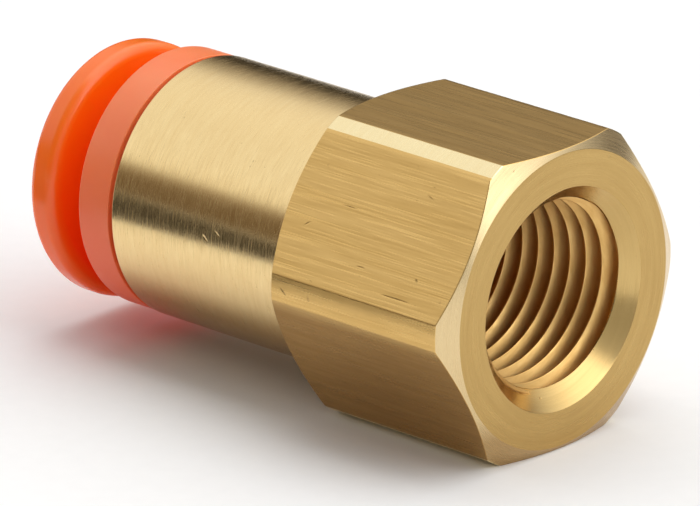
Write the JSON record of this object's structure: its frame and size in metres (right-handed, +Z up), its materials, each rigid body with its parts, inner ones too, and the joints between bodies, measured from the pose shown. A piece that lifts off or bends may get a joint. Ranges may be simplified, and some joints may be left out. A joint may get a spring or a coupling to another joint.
{
  "type": "push fit coupling",
  "caption": "Straight push-in tube fitting: brass hexagon body with a tapered female pipe thread, turned barrel, and an orange release button with collar.",
  "frame": {"origin": "centre of the threaded port's face, on the fitting's axis", "axes": "+X out of the threaded port along the axis, so the release button is at -X; +Z up, square to a hexagon flat, with the fitting lying on the opposite flat"},
  "size_m": [0.028, 0.016, 0.0142],
  "materials": {
    "brass": "turned and drawn, satin",
    "collar_plastic": "semi matt salmon orange",
    "button_plastic": "gloss orange, slightly translucent",
    "seal_rubber": "matt black",
    "stainless": "bright stainless strip",
    "carrier_plastic": "natural acetal"
  },
  "bodies": {
    "fitting": {"body": "brass", "mouth_collar": "collar_plastic", "lip_seal": "seal_rubber", "thrust_ring": "stainless", "guide_ring": "stainless"},
    "carrier": {"claw_carrier": "carrier_plastic"},
    "button": {"release_button": "button_plastic"},
    "claw_01": {"claw_01": "stainless"},
    "claw_02": {"claw_02": "stainless"},
    "claw_03": {"claw_03": "stainless"},
    "claw_04": {"claw_04": "stainless"},
    "claw_05": {"claw_05": "stainless"},
    "claw_06": {"claw_06": "stainless"},
    "claw_07": {"claw_07": "stainless"},
    "claw_08": {"claw_08": "stainless"},
    "claw_09": {"claw_09": "stainless"},
    "claw_10": {"claw_10": "stainless"},
    "claw_11": {"claw_11": "stainless"},
    "claw_12": {"claw_12": "stainless"}
  },
  "joints": [
    {"name": "carrier_spin", "type": "hinge", "parent": "fitting", "child": "carrier", "pos_m": [-0.01896, 0, 0], "axis": [1, 0, 0], "continuous": true},
    {"name": "button_press", "type": "slide", "parent": "carrier", "child": "button", "axis": [1, 0, 0], "range_m": [0, 0.00117], "stiffness_N_per_m": 60},
    {"name": "claw_01_hinge", "type": "hinge", "parent": "carrier", "child": "claw_01", "pos_m": [-0.01896, 0.00435, 0], "axis": [0, 0, 1], "range_deg": [0, 12.01]},
    {"name": "claw_02_hinge", "type": "hinge", "parent": "carrier", "child": "claw_02", "pos_m": [-0.01896, 0.00377, 0.00217], "axis": [0, -0.5, 0.866], "range_deg": [0, 12.01]},
    {"name": "claw_03_hinge", "type": "hinge", "parent": "carrier", "child": "claw_03", "pos_m": [-0.01896, 0.00218, 0.00377], "axis": [0, -0.866, 0.5], "range_deg": [0, 12.01]},
    {"name": "claw_04_hinge", "type": "hinge", "parent": "carrier", "child": "claw_04", "pos_m": [-0.01896, 0, 0.00435], "axis": [0, -1, 0], "range_deg": [0, 12.01]},
    {"name": "claw_05_hinge", "type": "hinge", "parent": "carrier", "child": "claw_05", "pos_m": [-0.01896, -0.00217, 0.00377], "axis": [0, -0.866, -0.5], "range_deg": [0, 12.01]},
    {"name": "claw_06_hinge", "type": "hinge", "parent": "carrier", "child": "claw_06", "pos_m": [-0.01896, -0.00377, 0.00217], "axis": [0, -0.5, -0.866], "range_deg": [0, 12.01]},
    {"name": "claw_07_hinge", "type": "hinge", "parent": "carrier", "child": "claw_07", "pos_m": [-0.01896, -0.00435, 0], "axis": [0, 0, -1], "range_deg": [0, 12.01]},
    {"name": "claw_08_hinge", "type": "hinge", "parent": "carrier", "child": "claw_08", "pos_m": [-0.01896, -0.00377, -0.00218], "axis": [0, 0.5, -0.866], "range_deg": [0, 12.01]},
    {"name": "claw_09_hinge", "type": "hinge", "parent": "carrier", "child": "claw_09", "pos_m": [-0.01896, -0.00218, -0.00377], "axis": [0, 0.866, -0.5], "range_deg": [0, 12.01]},
    {"name": "claw_10_hinge", "type": "hinge", "parent": "carrier", "child": "claw_10", "pos_m": [-0.01896, 0, -0.00435], "axis": [0, 1, 0], "range_deg": [0, 12.01]},
    {"name": "claw_11_hinge", "type": "hinge", "parent": "carrier", "child": "claw_11", "pos_m": [-0.01896, 0.00218, -0.00377], "axis": [0, 0.866, 0.5], "range_deg": [0, 12.01]},
    {"name": "claw_12_hinge", "type": "hinge", "parent": "carrier", "child": "claw_12", "pos_m": [-0.01896, 0.00377, -0.00218], "axis": [0, 0.5, 0.866], "range_deg": [0, 12.01]}
  ],
  "couplings": [
    {"joint": "claw_01_hinge", "follows": "button_press", "rad_per_m": 179.01},
    {"joint": "claw_02_hinge", "follows": "button_press", "rad_per_m": 179.01},
    {"joint": "claw_03_hinge", "follows": "button_press", "rad_per_m": 179.01},
    {"joint": "claw_04_hinge", "follows": "button_press", "rad_per_m": 179.01},
    {"joint": "claw_05_hinge", "follows": "button_press", "rad_per_m": 179.01},
    {"joint": "claw_06_hinge", "follows": "button_press", "rad_per_m": 179.01},
    {"joint": "claw_07_hinge", "follows": "button_press", "rad_per_m": 179.01},
    {"joint": "claw_08_hinge", "follows": "button_press", "rad_per_m": 179.01},
    {"joint": "claw_09_hinge", "follows": "button_press", "rad_per_m": 179.01},
    {"joint": "claw_10_hinge", "follows": "button_press", "rad_per_m": 179.01},
    {"joint": "claw_11_hinge", "follows": "button_press", "rad_per_m": 179.01},
    {"joint": "claw_12_hinge", "follows": "button_press", "rad_per_m": 179.01}
  ]
}
